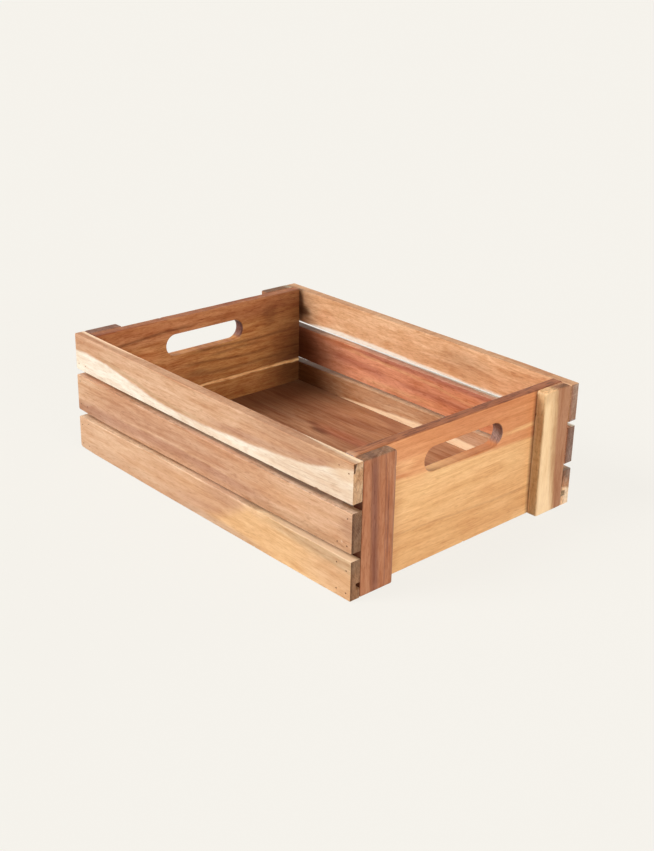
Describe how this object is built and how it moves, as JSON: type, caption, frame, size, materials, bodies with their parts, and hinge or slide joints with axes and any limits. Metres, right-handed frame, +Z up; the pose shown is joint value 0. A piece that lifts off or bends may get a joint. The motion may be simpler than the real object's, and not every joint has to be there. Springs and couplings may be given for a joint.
{
  "type": "apple crate",
  "caption": "Open wooden crate with slatted long sides, solid ends with rounded hand slots, corner battens and a floor let into grooves, for carrying fruit.",
  "frame": {"origin": "under the middle of the crate, on the surface that it stands on", "axes": "+X along the crate's length, +Y across its width from front to back, +Z up"},
  "size_m": [0.44, 0.309, 0.134],
  "materials": {
    "slat_wood": "oiled acacia, tan heartwood with cream sapwood, satin",
    "batten_wood": "oiled acacia, reddish brown, satin",
    "end_wood": "oiled acacia, golden to orange brown, satin",
    "floor_wood": "oiled acacia, dark reddish brown, satin",
    "brad_steel": "dull drawn steel"
  },
  "bodies": {
    "root": {"front_bottom_slat": "slat_wood", "front_middle_slat": "slat_wood", "front_top_slat": "slat_wood", "front_left_batten": "batten_wood", "front_right_batten": "batten_wood", "back_bottom_slat": "slat_wood", "back_middle_slat": "slat_wood", "back_top_slat": "slat_wood", "back_left_batten": "batten_wood", "back_right_batten": "batten_wood", "left_end_board": "end_wood", "right_end_board": "end_wood", "floor_board": "floor_wood", "brad_front_left_bottom_1": "brad_steel", "brad_front_left_bottom_2": "brad_steel", "brad_front_left_bottom_3": "brad_steel", "brad_front_left_bottom_4": "brad_steel", "brad_front_left_middle_1": "brad_steel", "brad_front_left_middle_2": "brad_steel", "brad_front_left_middle_3": "brad_steel", "brad_front_left_top_1": "brad_steel", "brad_front_left_top_2": "brad_steel", "brad_front_left_top_3": "brad_steel", "brad_front_left_top_4": "brad_steel", "brad_front_right_bottom_1": "brad_steel", "brad_front_right_bottom_2": "brad_steel", "brad_front_right_bottom_3": "brad_steel", "brad_front_right_bottom_4": "brad_steel", "brad_front_right_middle_1": "brad_steel", "brad_front_right_middle_2": "brad_steel", "brad_front_right_middle_3": "brad_steel", "brad_front_right_top_1": "brad_steel", "brad_front_right_top_2": "brad_steel", "brad_front_right_top_3": "brad_steel", "brad_front_right_top_4": "brad_steel", "brad_back_left_bottom_1": "brad_steel", "brad_back_left_bottom_2": "brad_steel", "brad_back_left_bottom_3": "brad_steel", "brad_back_left_bottom_4": "brad_steel", "brad_back_left_middle_1": "brad_steel", "brad_back_left_middle_2": "brad_steel", "brad_back_left_middle_3": "brad_steel", "brad_back_left_top_1": "brad_steel", "brad_back_left_top_2": "brad_steel", "brad_back_left_top_3": "brad_steel", "brad_back_left_top_4": "brad_steel", "brad_back_right_bottom_1": "brad_steel", "brad_back_right_bottom_2": "brad_steel", "brad_back_right_bottom_3": "brad_steel", "brad_back_right_bottom_4": "brad_steel", "brad_back_right_middle_1": "brad_steel", "brad_back_right_middle_2": "brad_steel", "brad_back_right_middle_3": "brad_steel", "brad_back_right_top_1": "brad_steel", "brad_back_right_top_2": "brad_steel", "brad_back_right_top_3": "brad_steel", "brad_back_right_top_4": "brad_steel"}
  },
  "joints": []
}
